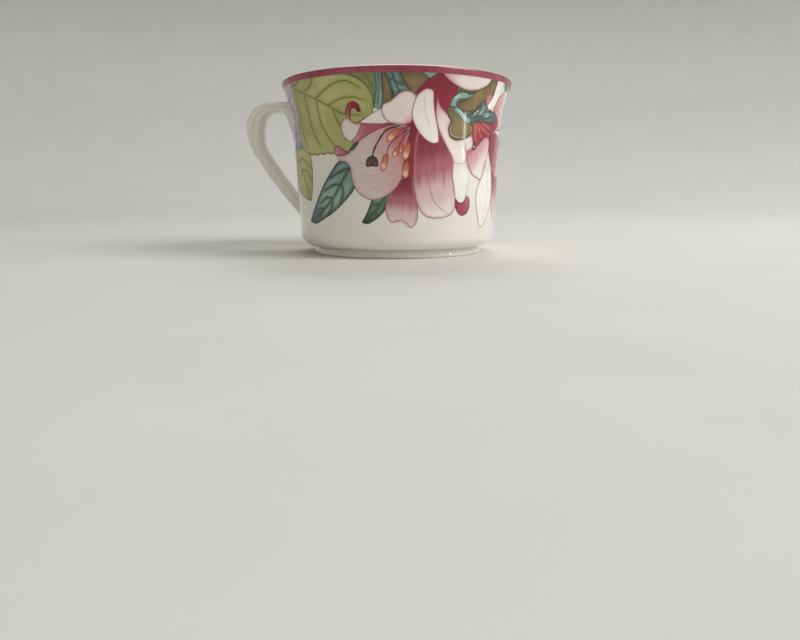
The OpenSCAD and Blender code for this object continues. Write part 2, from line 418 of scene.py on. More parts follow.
def curve(points, step=STEP):
    """Smooth line through a few flat points, at even steps."""
    p = np.asarray(points, float)
    if len(p) > 2:
        ends = np.vstack([2 * p[0] - p[1], p, 2 * p[-1] - p[-2]])
        t = np.linspace(0, 1, 13)[:, None]
        parts = [bend_through(*four, t) for four in zip(ends, ends[1:], ends[2:], ends[3:])]
        p = np.vstack([part[:-1] for part in parts] + [p[-1:]])
    length = np.linalg.norm(np.diff(p, axis=0), axis=1).sum()
    return resampled(p, max(4, int(length / step) + 2))


def gap_to(points, lines):
    """Distance from each point to the nearest of some lines."""
    if not lines:
        return np.full(len(points), FAR)
    marks = np.vstack(lines)
    return np.array([np.sqrt(((marks - p) ** 2).sum(1).min()) for p in points])


class Print:
    """One printed sheet: petals, leaves and pen lines that lie on the wall."""

    def __init__(self, name, *nodes):
        self.name, self.nodes = name, nodes
        self.points, self.lifts, self.uv, self.edge, self.vein = [], [], [], [], []
        self.faces, self.paints, self.slots = [], [], []
        self.count = 0

    def grid(self, rows, lift, colour, edge, vein):
        """Adds a grid of flat points, rows from base to tip."""
        m, n = rows.shape[:2]
        rows = rows.copy()
        rows[..., 1] = np.minimum(rows[..., 1], TOP)
        start = self.count
        self.points.append(rows.reshape(-1, 2))
        self.lifts.append(np.full(m * n, lift))
        u, v = np.meshgrid(np.linspace(0, 1, m), np.linspace(0, 1, n), indexing="ij")
        self.uv.append(np.stack([u, v], -1).reshape(-1, 2))
        self.edge.append(edge)
        self.vein.append(vein)
        if colour not in self.slots:
            self.slots.append(colour)
        slot = self.slots.index(colour)
        for i in range(m - 1):
            for j in range(n - 1):
                a = start + i * n + j
                self.faces.append((a, a + 1, a + n + 1, a + n))
                self.paints.append(slot)
        self.count += m * n

    def shape(self, left, right, colour, level, line="rose_line", width=0.26, veins=(), vein_width=0.22,
              vein_line=None):
        """A petal or leaf between two edges that both run from its base to its tip."""
        a, b = curve(flat(left)), curve(flat(right))
        m = max(len(a), len(b))
        a, b = resampled(a, m), resampled(b, m)
        span = np.linalg.norm(a - b, axis=1).max()
        share = np.linspace(0, 1, max(3, int(span / STEP) + 2))[None, :, None]
        rows = a[:, None] * (1 - share) + b[:, None] * share
        drawn = [curve(flat(v)) for v in veins]
        spots = rows.reshape(-1, 2)
        self.grid(rows, FIRST_LIFT + level * LEVEL_LIFT, colour, gap_to(spots, [a, b]),
                  gap_to(spots, drawn))
        for vein in veins:
            self.line(vein, vein_width, vein_line or line, level, (0.9, 0.35))
        if line:
            self.line(left, width, line, level)
            self.line(right, width, line, level)

    def line(self, points, width, colour, level, taper=(0.6, 0.6)):
        """A pen line through a few wall points, thinner at its ends."""
        p = curve(flat(points), 0.45)
        t = unit(np.gradient(p, axis=0))
        side = np.stack([-t[:, 1], t[:, 0]], -1)
        s = np.linspace(0, 1, len(p))
        ends = np.minimum(1, np.minimum(taper[0] + 4 * s, taper[1] + 4 * (1 - s)))
        wave = 1 + 0.18 * np.sin(p[:, 0] * 1.3 + 5 * s) * np.cos(p[:, 1] * 1.7)
        half = (0.5 * width * ends * wave)[:, None]
        rows = np.stack([p - side * half, p + side * half], 1)
        lift = FIRST_LIFT + level * LEVEL_LIFT + LINE_LIFT
        far = np.full(2 * len(p), FAR)
        self.grid(rows, lift, colour, far, far)

    def piece(self):
        """Builds the sheet as one object."""
        points, lifts = np.vstack(self.points), np.concatenate(self.lifts)
        grid_of = np.repeat(np.arange(len(self.points)), [len(p) for p in self.points])
        spots = np.column_stack([np.round(points / JOIN_MM), grid_of])
        _, first, same = np.unique(spots, axis=0, return_index=True, return_inverse=True)
        faces, paints = first[same.ravel()][np.array(self.faces)], np.array(self.paints)
        angle, z = points[:, 0] / MM_PER_DEG, points[:, 1]
        places, normals = on_wall(angle, z, lifts) * MM, wall_normal(angle, z)
        a, b, c, d = (places[faces[:, k]] for k in range(4))
        area = np.cross(c - a, d - b)
        inward = (area * normals[faces[:, 0]]).sum(1) < 0
        faces[inward] = faces[inward][:, ::-1]
        kept = (np.linalg.norm(area, axis=1) > SMALLEST_FACE) & (z[faces] < TOP - JOIN_MM).any(1)
        faces, paints = faces[kept], paints[kept]
        used, faces = np.unique(faces, return_inverse=True)
        faces = [list(dict.fromkeys(face)) for face in faces.reshape(-1, 4).tolist()]
        places, normals = places[used], normals[used]
        mesh = bpy.data.meshes.new(self.name)
        mesh.from_pydata(places.tolist(), [], faces)
        for slot in self.slots:
            mesh.materials.append(PAINTS[slot])
        mesh.polygons.foreach_set("material_index", paints)
        mesh.polygons.foreach_set("use_smooth", [True] * len(faces))
        corners = np.empty(len(mesh.loops), np.int32)
        mesh.loops.foreach_get("vertex_index", corners)
        layer = mesh.uv_layers.new(name="UVMap")
        layer.data.foreach_set("uv", np.vstack(self.uv)[used][corners].ravel())
        for label, values in (("edge", self.edge), ("vein", self.vein)):
            data = mesh.attributes.new(label, "FLOAT", "POINT")
            data.data.foreach_set("value", np.concatenate(values)[used])
        mesh.normals_split_custom_set_from_vertices(normals.tolist())
        piece = bpy.data.objects.new(self.name, mesh)
        bpy.context.scene.collection.objects.link(piece)
        finish(piece, *self.nodes)
        return piece


def finish(piece, *nodes):
    """Hangs a piece under the root body and hides the CAD nodes that it takes the place of."""
    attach(piece, "root")
    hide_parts(*nodes)


# ---------------------------------------------------------------- china body


def revolved(outline, around, closed):
    """Points and faces of (radius, height) points turned round the cup's axis, back to the first or not."""
    outline = np.asarray(outline, float)
    a = np.linspace(0, 2 * math.pi, around, endpoint=False)
    rings = np.stack([np.outer(outline[:, 0], np.sin(a)), -np.outer(outline[:, 0], np.cos(a)),
                      np.repeat(outline[:, 1:], around, 1)], -1)
    m = len(outline)
    faces = []
    for i in range(m if closed else m - 1):
        j = (i + 1) % m
        for k in range(around):
            after = (k + 1) % around
            faces.append((i * around + k, i * around + after, j * around + after, j * around + k))
    return rings.reshape(-1, 3), faces


def smooth_object(name, points, faces, material):
    """A smooth-shaded object, added to the scene."""
    mesh = bpy.data.meshes.new(name)
    mesh.from_pydata(points.tolist(), [], faces)
    mesh.polygons.foreach_set("use_smooth", [True] * len(faces))
    mesh.materials.append(material)
    made = bpy.data.objects.new(name, mesh)
    bpy.context.scene.collection.objects.link(made)
    return made


def turned(name, outline, material):
    """A closed surface of revolution through (radius, height) points in mm. It may end on the axis."""
    on_axis = outline[0][0] == 0
    points, faces = revolved(outline, TURN_STEPS, closed=not on_axis)
    piece = smooth_object(name, points * MM, faces, material)
    if on_axis:
        joined = bmesh.new()
        joined.from_mesh(piece.data)
        bmesh.ops.remove_doubles(joined, verts=joined.verts, dist=1e-7)
        joined.to_mesh(piece.data)
        joined.free()
    return piece


def arc(centre, radius, start, end, steps):
    a = np.radians(np.linspace(start, end, steps + 1))
    return [(centre[0] + radius * math.cos(t), centre[1] + radius * math.sin(t)) for t in a]


def build_bowl():
    inner_corner_z = FLOOR_Z + INNER_CORNER_R

    def inner_r(z):
        return wall_r(z) - (WALL_T + (LIP_T - WALL_T) * (z - CORNER_Z) / (LIP_Z - CORNER_Z))

    outline = [(r, FOOT_H + HAIR) for r in (0.0, 2.0, 12.0, 24.0)]
    outline += arc((BASE_R - CORNER_R, CORNER_Z), CORNER_R - HAIR, -90, 0, 16)
    outline += [(wall_r(z), z) for z in np.linspace(CORNER_Z + 0.8, LIP_Z - 0.3, 64)]
    outline += arc((RIM_R - LIP_T / 2 - HAIR, LIP_Z - HAIR), LIP_T / 2, 0, 180, 14)
    outline += [(inner_r(z), z) for z in np.linspace(LIP_Z - 0.5, inner_corner_z + 0.8, 60)]
    outline += arc((inner_r(inner_corner_z) - INNER_CORNER_R, inner_corner_z), INNER_CORNER_R, 0, -90, 16)
    outline += [(r, FLOOR_Z - dip) for r, dip in ((20.0, 0.03), (10.0, 0.05), (2.0, 0.06), (0.0, 0.06))]
    finish(turned("bowl_china", outline, CHINA), "bowl")


def build_foot():
    inner, edge = FOOT_R - FOOT_W, 0.5
    outline = arc((inner + edge, edge + HAIR), edge, 180, 270, 6)
    outline += arc((FOOT_R - edge - 2 * HAIR, edge + HAIR), edge, 270, 360, 6)
    outline += [(FOOT_R - 0.15, FOOT_H * 0.5), (FOOT_R - 0.45, FOOT_H - 0.5), (FOOT_R - 0.75, FOOT_H)]
    outline += [(inner + 0.1, FOOT_H), (inner, FOOT_H * 0.5)]
    piece = turned("foot_ring_china", outline, CHINA)
    piece.data.materials.append(BARE)
    ground = np.array([p.center.z for p in piece.data.polygons]) < 0.1 * MM
    piece.data.polygons.foreach_set("material_index", ground.astype(int))
    finish(piece, "foot_ring")


# ---------------------------------------------------------------- handle and its joints

ARM_Z = 55.6
HALF_T = 2.0
HALF_W = 3.7
CORNER_C, CORNER_PATH_R = np.array([49.7, 46.8]), 8.8
BACK_C, BACK_PATH_R, BACK_TURN = np.array([42.0, 46.8]), 16.5, 33.0
TAIL_PATH_R, TAIL_TURN = 148.0, 46.0
ARM_EXTRA, TAIL_EXTRA, TAIL_TAPER = 0.3, 0.7, 0.2
SHOULDER_OUT, SHOULDER_IN, SHOULDER_END = 1.5, 0.9, 90.0 + BACK_TURN
PULL_ANGLE, PULL_REACH = 10.0, 40.0
ROOT_FLARE, ROOT_REACH = 0.7, 9.0
WEB_R, WEB_X, WEB_SLOPE = 5.0, 43.9, 3.35
FILLET = 1.7

# Half section as (outwards, across) in shares of the half sizes, with a groove along the side
HALF_SECTION = [(1.0, 0.0), (1.0, 0.32), (0.95, 0.66), (0.82, 0.88), (0.66, 0.96), (0.5, 0.93),
                (0.38, 0.86), (0.24, 0.9), (0.06, 0.98), (-0.2, 1.0), (-0.5, 0.93), (-0.78, 0.72),
                (-0.94, 0.4), (-1.0, 0.0)]


def closed_curve(points, count):
    """Smooth closed line through some points."""
    p = np.asarray(points, float)
    n, t = len(p), np.linspace(0, 1, 12, endpoint=False)[:, None]
    parts = [bend_through(*(p[(i + k) % n] for k in (-1, 0, 1, 2)), t) for i in range(n)]
    return resampled(np.vstack(parts + [parts[0][:1]]), count + 1)[:-1]


SECTION = closed_curve(HALF_SECTION + [(o, -w) for o, w in HALF_SECTION[-2:0:-1]], 72)


def outer_t(a):
    """Thickness outwards of the centre line, swollen round the outer corner."""
    run = (90 - a) / SHOULDER_END
    return HALF_T + ARM_EXTRA + (TAIL_EXTRA - ARM_EXTRA) * run + SHOULDER_OUT * math.sin(math.pi * run)


def inner_t(a):
    """Thickness inwards of the centre line, swollen where a finger pulls."""
    off = abs(a - PULL_ANGLE) / PULL_REACH
    return HALF_T + (SHOULDER_IN * math.cos(off * math.pi / 2) ** 2 if off < 1 else 0)


def root_w(x):
    return HALF_W + ROOT_FLARE * max(0, (BASE_R + ROOT_REACH - x) / ROOT_REACH) ** 2


def web_z(x):
    """Height of the arm's underside, which drops in a fillet and thins out down the wall."""
    if x >= WEB_X + WEB_R:
        return ARM_Z - HALF_T
    if x >= WEB_X:
        return ARM_Z - HALF_T - WEB_R + math.sqrt(WEB_R**2 - (WEB_X + WEB_R - x) ** 2)
    return ARM_Z - HALF_T - WEB_R - (WEB_X - x) * WEB_SLOPE


def ring(x, z, a, out, inwards, w):
    """One section of the handle; a is the angle of its outward side in the handle's plane."""
    reach = SECTION[:, 0] * np.where(SECTION[:, 0] > 0, out, inwards)
    a = math.radians(a)
    return np.stack([-(x + reach * math.cos(a)), SECTION[:, 1] * w, z + reach * math.sin(a)], -1)


def on_arc(centre, radius, a):
    return centre + radius * np.array([math.cos(math.radians(a)), math.sin(math.radians(a))])


def wall_gap(p):
    """How far points stand out from the wall."""
    return np.hypot(p[..., 0], p[..., 1]) - wall_r(p[..., 2])


def at_gaps(lines, gaps):
    """Points at stated gaps from the wall on lines that run into it. Gaps has a row for each ring."""
    found = np.empty((len(gaps), lines.shape[1], 3))
    for j in range(lines.shape[1]):
        gap = wall_gap(lines[:, j])
        for k in range(3):
            found[:, j, k] = np.interp(-gaps[:, j], -gap, lines[:, j, k])
    return found


def closed_rings(name, rings, material, loop=False):
    """Joins closed rings into one closed skin, capped at its ends or joined end to end."""
    m, n = rings.shape[:2]
    faces = [(i * n + j, i * n + (j + 1) % n, (i + 1) % m * n + (j + 1) % n, (i + 1) % m * n + j)
             for i in range(m if loop else m - 1) for j in range(n)]
    if not loop:
        faces += [tuple(range(n))[::-1], tuple(range((m - 1) * n, m * n))]
    piece = smooth_object(name, rings.reshape(-1, 3) * MM, faces, material)
    facing = bmesh.new()
    facing.from_mesh(piece.data)
    bmesh.ops.recalc_face_normals(facing, faces=facing.faces)
    facing.to_mesh(piece.data)
    facing.free()
    return piece


def slip_collar(name, lines, node):
    """Smooth collar of slip where the handle's lines run into the wall."""
    turn = np.linspace(0, math.pi / 2, 9)
    gaps = FILLET * (1 - np.sin(turn))
    spread = FILLET * (1 - np.cos(turn))
    on_handle = at_gaps(lines, np.repeat(gaps[:, None], lines.shape[1], 1))
    rings = []
    for gap, out, p in zip(gaps, spread, on_handle):
        along = np.roll(p, -1, 0) - np.roll(p, 1, 0)
        side = unit(np.cross(along, p * [1, 1, 0]))
        side *= np.sign((side * (p - p.mean(0))).sum(1).sum())
        q = p + side * (out + 0.015)
        a = np.arctan2(q[:, 0], -q[:, 1])
        r = wall_r(q[:, 2]) + gap + 0.01
        rings.append(np.stack([r * np.sin(a), -r * np.cos(a), q[:, 2]], -1))
    core = at_gaps(lines, np.array([[-0.3], [FILLET * 0.8]]) * np.ones((1, lines.shape[1])))
    for p, share in zip(core, (1.0, 0.94)):
        middle = p.mean(0)
        rings.append(middle + (p - middle) * share)
    finish(closed_rings(name, np.array(rings), SLIP, loop=True), node)


def build_handle():
    arm = [ring(x, ARM_Z, 90, outer_t(90), ARM_Z - web_z(x), root_w(x))
           for x in np.linspace(WEB_X + WEB_R, BASE_R, 240)]
    bend = [ring(*on_arc(CORNER_C, CORNER_PATH_R, a), a, outer_t(a), inner_t(a), HALF_W)
            for a in np.linspace(87, 0, 30)]
    bend += [ring(*on_arc(BACK_C, BACK_PATH_R, a), a, outer_t(a), inner_t(a), HALF_W)
             for a in np.linspace(-3, -BACK_TURN + 3, 10)]
    tail_c = on_arc(BACK_C, BACK_PATH_R - TAIL_PATH_R, -BACK_TURN)
    tail = []
    for a in np.linspace(-BACK_TURN, -TAIL_TURN - 1, 300):
        x, z = on_arc(tail_c, TAIL_PATH_R, a)
        t = HALF_T - TAIL_TAPER * (-a - BACK_TURN) / (TAIL_TURN - BACK_TURN)
        tail.append(ring(x, z, a, t + TAIL_EXTRA, t, root_w(x)))
    arm, tail = np.array(arm), np.array(tail)
    inside = -0.35

    def run_in(lines, steps):
        share = np.linspace(0, 1, steps)[:, None] ** 0.7
        free = wall_gap(lines[0])
        return at_gaps(lines, free + (inside - free) * share)

    rings = np.concatenate([run_in(arm, 26)[::-1], bend, run_in(tail, 48)])
    finish(closed_rings("handle_china", rings, CHINA), "handle")
    slip_collar("upper_slip_china", arm, "upper_slip_joint")
    slip_collar("lower_slip_china", tail, "lower_slip_joint")


def build_band():
    """The painted line round the lip: it covers the tops of the prints and rolls over the lip."""
    lip_c = (RIM_R - LIP_T / 2, LIP_Z)
    low, high = BAND_Z - 0.08, LIP_Z
    heights = np.linspace(low, high - 0.1, 10)
    wall = [(wall_r(z) + 0.17 - 0.13 * (z - low) / (high - low), z) for z in heights]
    outline = [(wall_r(low) - 0.05, low)] + wall + arc(lip_c, LIP_T / 2 + 0.035, 4, 38, 8)
    outline += [(lip_c[0] + 0.5, LIP_Z + 0.4), (wall_r(high) - 0.3, high)]
    finish(turned("rim_band_enamel", outline, BAND), "rim_band")


build_bowl()
build_foot()
build_handle()
build_band()


# ---------------------------------------------------------------- the printed sheets


def stem(sheet, points, start, end, colour, level, line, width=0.24):
    """A stroke that widens or narrows from start to end, in mm, with an outline on both sides."""
    p = curve(flat(points), 1.2)
    t = unit(np.gradient(p, axis=0))
    half = np.linspace(start, end, len(p))[:, None] / 2
    side = np.stack([-t[:, 1], t[:, 0]], -1) * half
    sheet.shape(on_print(p + side), on_print(p - side), colour, level, line, width)


def toothed(points, size, pitch, sign=1.0):
    """Cuts small teeth, in mm, into an edge of wall points."""
    p = curve(flat(points), pitch / 3)
    t = unit(np.gradient(p, axis=0))
    saw = np.array([0.0, 0.75, 1.0])[np.arange(len(p)) % 3] * size * sign
    saw[:2] = saw[-2:] = 0
    p = p + np.stack([t[:, 1], -t[:, 0]], -1) * saw[:, None]
    return on_print(p)


def floret(sheet, angle, z, size, spin, colours, level):
    """A four-petalled hydrangea floret."""
    for k in range(4):
        a = math.radians(spin + 90 * k)
        out, side = np.array([math.cos(a), math.sin(a)]), np.array([-math.sin(a), math.cos(a)])

        def at(far, wide):
            p = (out * far + side * wide) * size
            return (angle + p[0] / MM_PER_DEG, z + p[1])

        left = [at(0.05, 0), at(0.35, 0.34), at(0.75, 0.42), at(1.0, 0.0)]
        right = [at(0.05, 0), at(0.35, -0.36), at(0.78, -0.38), at(1.0, 0.0)]
        sheet.shape(left, right, colours[k % len(colours)], level, "violet_line", 0.2,
                    [[at(0.2, 0), at(0.8, 0.02)]], 0.12)
    dot = [(angle - 0.5, z), (angle, z + 0.35), (angle + 0.5, z)]
    low = [(angle - 0.5, z), (angle, z - 0.35), (angle + 0.5, z)]
    sheet.shape(dot, low, "lily_white", level + 1, None)


FLORET_TONES = [
    ["lavender", "lavender", "periwinkle", "lavender"],
    ["periwinkle", "lavender", "periwinkle", "deep_blue"],
    ["deep_blue", "periwinkle", "deep_blue", "deep_blue"],
]


def hydrangea(sheet, places, level, seed):
    """Overlapping florets at (angle, height) places, from pale ones above to deep blue ones below."""
    chance = random.Random(seed)
    for angle, z in places:
        disc(sheet, (angle, z), 3.0, "violet_shade", level, "violet_line", 0.2)
    for angle, z in places:
        tone = 0 if z > 46 else 1 if z > 37 else 2
        spin = chance.uniform(0, 90)
        floret(sheet, angle, z, chance.uniform(3.2, 3.7), spin, FLORET_TONES[tone], level + 1)


# Florets are so many degrees apart in a row, and rows so many millimetres. The lowest are cut back.
FLORET_APART = 7.4
STAGGER = 3.6
ROW_APART = 4.5
CUT_BACK = 9


def cluster(low, high, bottom, top, seed):
    """Places for florets in staggered rows between two angles, with the lowest rows cut back."""
    chance = random.Random(seed)
    places = []
    z, row = top, 0
    while z > bottom:
        cut = max(0, (bottom + CUT_BACK - z) / CUT_BACK) ** 2 * (high - low) * 0.35
        angle = low + cut + (row % 2) * STAGGER
        while angle < high - cut:
            places.append((angle + chance.uniform(-0.6, 0.6), z + chance.uniform(-0.5, 0.5)))
            angle += FLORET_APART
        z, row = z - ROW_APART, row + 1
    return places


def draw_leaf_spray():
    s = Print("print_leaves", "print_leaf_spray")
    hydrangea(s, cluster(-72, -47, 33, 58.4, 3), 0, 5)
    s.shape([(-62, 37.5), (-50, 38.4), (-41, 38.2), (-36.6, 35.6), (-35.6, 30), (-36.4, 25), (-38.5, 19.8)],
            [(-62, 37.5), (-67, 33), (-64, 27), (-55, 23), (-46, 21), (-38.5, 19.8)],
            "yellow_green", 2, "green_line", 0.3,
            [[(-61, 36.5), (-51, 32.5), (-43.5, 26), (-39, 20.6)], [(-54, 34), (-46, 34.6), (-37, 31.5)],
             [(-48, 30.5), (-42, 30.4), (-36.6, 27)], [(-57, 34.8), (-60, 31), (-60, 26)],
             [(-49, 31), (-52, 27), (-51, 23)]], 0.24)
    s.shape([(-9, TOP), (-2, 58.6), (2.2, 54.4), (3.4, 49.6)],
            [(6, TOP), (6.2, 57), (5.6, 53), (3.4, 49.6)], "olive_leaf", 2, "green_line", 0.26,
            [[(0, TOP), (4, 56), (4, 51)]], 0.2)
    s.shape([(-46.5, TOP), (-30, TOP), (-14, TOP), (-6, 59.8), (0, 57.4), (3.6, 53.6), (3.8, 50)],
            toothed([(-46.5, TOP), (-47.6, 54), (-47, 46), (-45, 40), (-40.5, 37.2), (-34, 36),
                     (-27, 36), (-19, 36.2), (-11, 36.4), (-3, 39.5), (2, 44.5), (3.8, 50)], 0.5, 3.4),
            "yellow_green", 3, "green_line", 0.32,
            [[(-46.6, 59.4), (-41, 57.6), (-36, 56), (-28, 53.8), (-20, 51.2), (-12, 48.4), (-2, 47.6)],
             [(-36, 55.6), (-35.4, 49), (-32.4, 43.4), (-27, 38)],
             [(-28, 53.4), (-26.6, 47), (-22.6, 42.2), (-18, 38.6)],
             [(-18, 50.4), (-15.6, 46.6), (-12, 43.2)],
             [(-43.6, 58.4), (-44.6, 50), (-42.4, 43), (-38.6, 38.4)],
             [(-36.4, 56.4), (-30, 57.8), (-26, TOP)],
             [(-27.6, 54), (-20, 56.4), (-14, 58), (-8, 58.2), (-2, 56)],
             [(-20, 51.4), (-13, 53), (-6, 53.3), (0, 52.2)], [(-45, 59.4), (-40, 59.4), (-37, TOP)]], 0.3)
    return s.piece()


def draw_front_lily():
    s = Print("print_lily", "print_front_lily")
    # leaves and stems behind the flower
    s.shape([(-10, 33.6), (-15.6, 33), (-20, 30.2), (-27, 25), (-32, 20.5), (-37, 16), (-41, 12.6)],
            [(-10, 33.6), (-7, 29), (-7, 24.6), (-12, 20.6), (-20, 16.4), (-28, 13.7), (-35, 12),
             (-41, 12.6)], "teal", 4, "dark_line", 0.34,
            [[(-9.5, 31), (-15, 25.6), (-21, 20.5), (-28, 16.8), (-38, 13)],
             [(-15, 25.6), (-20, 25.3), (-26, 23.4)], [(-14.6, 26), (-13.8, 22.6), (-16, 19)],
             [(-20.6, 20.8), (-25, 21), (-30, 19)], [(-20.6, 20.8), (-21.4, 18), (-24.4, 15.4)],
             [(-27.4, 17.1), (-31, 17.3), (-34.4, 15.6)], [(-9.8, 30.8), (-15, 29.8), (-21.6, 27.6)],
             [(-28, 16.8), (-29.6, 15.4), (-32, 14)]], 0.3)
    s.shape([(8, 23.2), (3, 21.2), (0.8, 18), (-1.4, 15), (-3.6, 12.8)],
            [(8, 23.2), (12, 22.6), (9.6, 19), (8, 16.4), (3.6, 13.8), (-0.6, 12.4), (-3.6, 12.8)],
            "dark_green", 4, "dark_line", 0.3,
            [[(9, 21.6), (5, 17.6), (0, 14.4)], [(6.4, 19), (3, 18.6)], [(4, 17), (4.4, 15)]], 0.24)
    s.shape([(8.3, TOP), (8.5, 56), (8, 50.6)], [(11.6, TOP), (12.4, 56), (12.8, 52)], "olive_brown", 3,
            "dark_line")
    s.shape([(5.4, TOP), (5.7, 56), (4.7, 52.4), (3.6, 49.8)],
            [(8.2, TOP), (8.3, 56), (8.4, 52), (7.4, 49.2)], "teal_stem", 4, "teal_line", 0.3,
            [[(6.8, TOP), (7, 56), (6, 51)]])
    s.shape([(16, TOP), (18.6, 57.2), (21, 54.8), (23, 53.4)],
            [(33, TOP), (29, 58.4), (26, 55.6), (23, 53.4)], "olive_brown", 3, "dark_line", 0.24)
    s.shape([(9.4, TOP), (11.6, 57), (13, 54.4), (13.8, 52)],
            [(16.4, TOP), (18.2, 57.6), (21, 54.8), (17, 54.4), (13.8, 52)], "teal", 4, "dark_line", 0.3,
            [[(12.6, TOP), (14.6, 57), (16, 54.8)], [(14.4, 57.6), (17.4, 56.6)],
             [(13.6, 58.6), (11.6, 58)]], 0.24)
    s.shape([(25, TOP), (29, 58.8), (31.6, 57.6)], [(33, TOP), (32.4, 59), (31.6, 57.6)], "teal_stem", 4,
            "teal_line")
    # crimson inside of the flower, seen between its petals, and dark ground between the stems
    s.shape([(6.6, 49.6), (7.4, 55), (8.6, TOP)],
            [(6.6, 49.6), (12, 49.4), (19, 51.6), (24, 54.4), (31, 57.6), (31, TOP), (8.6, TOP)],
            "dark_ground", 2, None)
    s.shape([(16.4, 46), (21, 48.4), (25.6, 46)],
            [(16.4, 46), (18, 42.4), (22, 40.6), (25.6, 42), (25.6, 46)], "crimson", 4, None)
    s.shape([(34, TOP), (29, 58.2), (25, 55.4), (24, 51), (28, 46), (36, 38)],
            [(45, TOP), (44.4, 57), (43.4, 53), (41.4, 49.4), (40, 45), (36, 38)], "crimson", 5, "red_line",
            0.2)
    s.shape([(35, TOP), (38.6, 58.7), (43, 57.2), (49, 56), (55, 56.2), (60, 57.3), (63.4, 58.8),
             (64.4, TOP)], [(35, TOP), (64.4, TOP)], "lily_pale", 6)
    s.shape([(22, 45.2), (20, 39), (18, 33), (17.2, 28), (18.8, 24.6)],
            [(27, 45), (25, 38), (24, 31), (23.8, 25), (18.8, 24.6)], "crimson", 5, None)
    # lower petals
    s.shape([(16.6, 27), (13.6, 24.6), (10.8, 21.4), (9.2, 18), (9.8, 15), (12, 12.9), (15, 13.4),
             (17.4, 13.4)],
            [(23.4, 28), (23.4, 23.4), (25.2, 18.8), (25.4, 14.6), (24, 12), (21.8, 11), (20, 12.3),
             (17.4, 13.4)], "lily_rose", 6, "rose_line", 0.26,
            [[(18.6, 22), (18.2, 18.6), (17.4, 15.6)], [(21.6, 20), (22.2, 16.4)]], 0.18, "vein_line")
    s.shape([(25.4, 44), (23.9, 38), (23.4, 31), (23.4, 25), (24.8, 20), (28, 15.8), (33, 14.2),
             (39, 14.2)],
            [(34, 42.4), (38.6, 40.5), (42, 36.6), (44.4, 33), (44.2, 28), (45.6, 23.5), (46.6, 19),
             (44, 15.4), (39, 14.2)], "lily_rose", 7, "rose_line", 0.28,
            [[(28.6, 38), (29.4, 31), (31.4, 24.4), (35, 19), (43, 15)], [(36, 38), (38.4, 30), (40, 24)],
             [(25.6, 37), (25.4, 30), (26, 24)], [(32.4, 39), (33.6, 31), (34.4, 26)]], 0.18, "vein_line")
    # broad cream petal with its curled tip
    s.shape([(19, 44.6), (12, 44.2), (5, 42.9), (-1, 40.8), (-6, 38.2), (-9.4, 35.8), (-13, 35),
             (-17, 34.8)],
            [(21.4, 43.4), (19.6, 37), (18, 32), (17.6, 28.5), (14.6, 24.6), (9, 21.6), (4, 20.4),
             (-1, 21), (-5.6, 23.3), (-8.2, 27), (-9, 31), (-11.6, 33), (-15, 33.3), (-17, 34.8)],
            "lily_cream", 8)
    s.shape([(-9.4, 35.7), (-12.4, 36.8), (-15, 38), (-17.6, 37.7), (-18, 35.3)],
            [(-9.4, 35.7), (-13, 35), (-18, 35.3)], "dusty_pink", 9, "red_line", 0.26)
    s.shape([(-9.6, 36.2), (-7, 38.6), (-3.6, 39.2)], [(-9.6, 36.2), (-6.4, 36.9), (-3.6, 39.2)],
            "dark_green", 9, None)
    for fold in ([(-2, 29), (3, 28.2), (6, 29.4)], [(-4, 32.4), (-1, 31.8)],
                 [(1, 24.4), (6, 24), (10, 25.6)], [(7, 36.6), (10, 33), (11, 28.6)]):
        s.line(fold, 0.22, "faint_line", 8, (0.2, 0.2))
    # upper left petal, its rose lower side and its curled tip
    s.shape([(15.6, 44.8), (6, 44.9), (-2, 44.8), (-7, 44.4), (-9, 41.4)],
            [(15.6, 44.8), (9, 43.9), (3, 42.2), (-2, 40.4), (-6.6, 38.9), (-9, 41.4)], "rose_band", 9,
            "red_line", 0.2)
    s.shape([(14.4, 45.6), (9, 49.4), (4, 48.4), (0, 46.8), (-2.6, 45.8), (-5, 45.3)],
            [(14.4, 45.6), (8, 44.8), (2, 44.9), (-5, 45.3)], "lily_white", 10, "rose_line", 0.24)
    s.shape([(-2.4, 45.4), (-6, 45.2), (-9.8, 47), (-12.8, 45.8), (-13.2, 43), (-11.2, 40.4), (-8, 39.3)],
            [(-2.4, 45.4), (-3.4, 43.2), (-5.2, 41), (-8, 39.3)], "lily_pale", 11)
    s.shape([(-9.4, 46.8), (-10.4, 49), (-8.9, 51.3), (-6, 52), (-3.5, 51), (-2.4, 48.6)],
            [(-7.6, 45.9), (-8.3, 48.2), (-7, 49.8), (-5.3, 49.9), (-4.2, 48.9), (-2.4, 48.6)], "curl_red",
            11, "red_line", 0.26)
    s.line([(-7.6, 45.9), (-5.4, 45.2), (-2.8, 45.6), (-0.6, 47)], 0.26, "red_line", 11)
